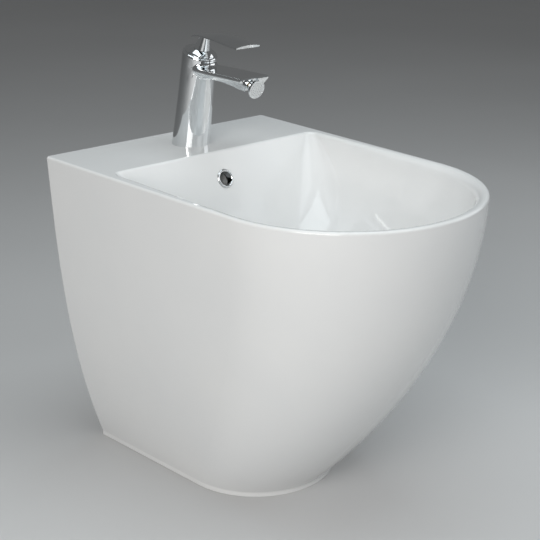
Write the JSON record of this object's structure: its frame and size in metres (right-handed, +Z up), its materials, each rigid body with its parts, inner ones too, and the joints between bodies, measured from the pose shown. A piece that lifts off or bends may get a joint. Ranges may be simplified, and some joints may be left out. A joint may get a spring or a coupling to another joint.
{
  "type": "back-to-wall bidet",
  "caption": "Floor-standing white ceramic bidet with a flat back and tapered skirt, a deck-mounted single-lever chrome mixer with swivel spray head, overflow and push-to-close waste.",
  "frame": {"origin": "middle of the overall box on the floor plane", "axes": "+Z up, +Y towards the wall, -Y towards the rounded nose, +X to the right seen from the front"},
  "size_m": [0.3594, 0.515, 0.5599],
  "materials": {
    "ceramic": "glossy white glaze",
    "chrome": "polished",
    "brass": "machined",
    "steel": "plain",
    "rubber": "matt black",
    "cartridge_plastic": "moulded",
    "disc_ceramic": "lapped",
    "stem_brass": "machined",
    "index": "moulded grey",
    "bracket_plastic": "moulded"
  },
  "bodies": {
    "fixed": {"ceramic_body": "ceramic", "overflow_ring": "chrome", "waste_body": "chrome", "waste_gasket": "rubber", "waste_cone_washer": "rubber", "waste_backnut": "brass", "plug_spring": "steel", "plug_guide": "cartridge_plastic", "tap_body": "chrome", "tap_base_seal": "rubber", "tap_stud": "brass", "clamp_washer": "rubber", "clamp_plate": "steel", "clamp_nut": "brass", "cartridge_base": "cartridge_plastic", "port_seals": "rubber", "fixed_disc": "disc_ceramic", "cartridge_housing": "cartridge_plastic", "cartridge_nut": "brass", "cartridge_cap": "chrome", "nozzle_retainer": "chrome", "retainer_seal": "rubber", "floor_bracket_left": "bracket_plastic", "floor_bracket_right": "bracket_plastic", "bracket_washers": "steel", "bracket_bolts": "steel"},
    "lever_swivel_carrier": {"cartridge_rotor": "cartridge_plastic", "rotor_pin": "steel"},
    "lever": {"lever_handle": "chrome", "lever_stem": "stem_brass", "lever_grub_screw": "steel", "lever_index_plug": "index"},
    "mixing_disc": {"moving_disc": "disc_ceramic", "disc_carrier": "cartridge_plastic"},
    "nozzle_seat": {"nozzle_seat_ring": "cartridge_plastic"},
    "spray_head": {"nozzle_ball": "brass", "nozzle_head": "chrome", "spray_plate": "chrome"},
    "stopper": {"waste_plug": "chrome", "plug_seal": "rubber", "plug_stem": "cartridge_plastic"}
  },
  "joints": [
    {"name": "lever_swivel", "type": "hinge", "parent": "fixed", "child": "lever_swivel_carrier", "pos_m": [0, 0.17135, 0.51666], "axis": [0, -0.1857, 0.9826], "range_deg": [-45, 45]},
    {"name": "lever_lift", "type": "hinge", "parent": "lever_swivel_carrier", "child": "lever", "pos_m": [0, 0.17135, 0.51666], "axis": [-1, 0, 0], "range_deg": [0, 16]},
    {"name": "disc_shift", "type": "slide", "parent": "lever_swivel_carrier", "child": "mixing_disc", "axis": [0, -0.9826, -0.1857], "range_m": [0, 0.00335]},
    {"name": "nozzle_turn", "type": "hinge", "parent": "fixed", "child": "nozzle_seat", "pos_m": [0, 0.0745, 0.505], "axis": [0, 0, 1], "range_deg": [-10, 10]},
    {"name": "nozzle_tilt", "type": "hinge", "parent": "nozzle_seat", "child": "spray_head", "pos_m": [0, 0.0745, 0.505], "axis": [-1, 0, 0], "range_deg": [-10, 4]},
    {"name": "stopper_press", "type": "slide", "parent": "fixed", "child": "stopper", "axis": [0, 0, -1], "range_m": [0, 0.0085], "deforming": ["plug_spring"]}
  ],
  "couplings": [
    {"joint": "disc_shift", "follows": "lever_lift", "m_per_rad": 0.011961}
  ]
}
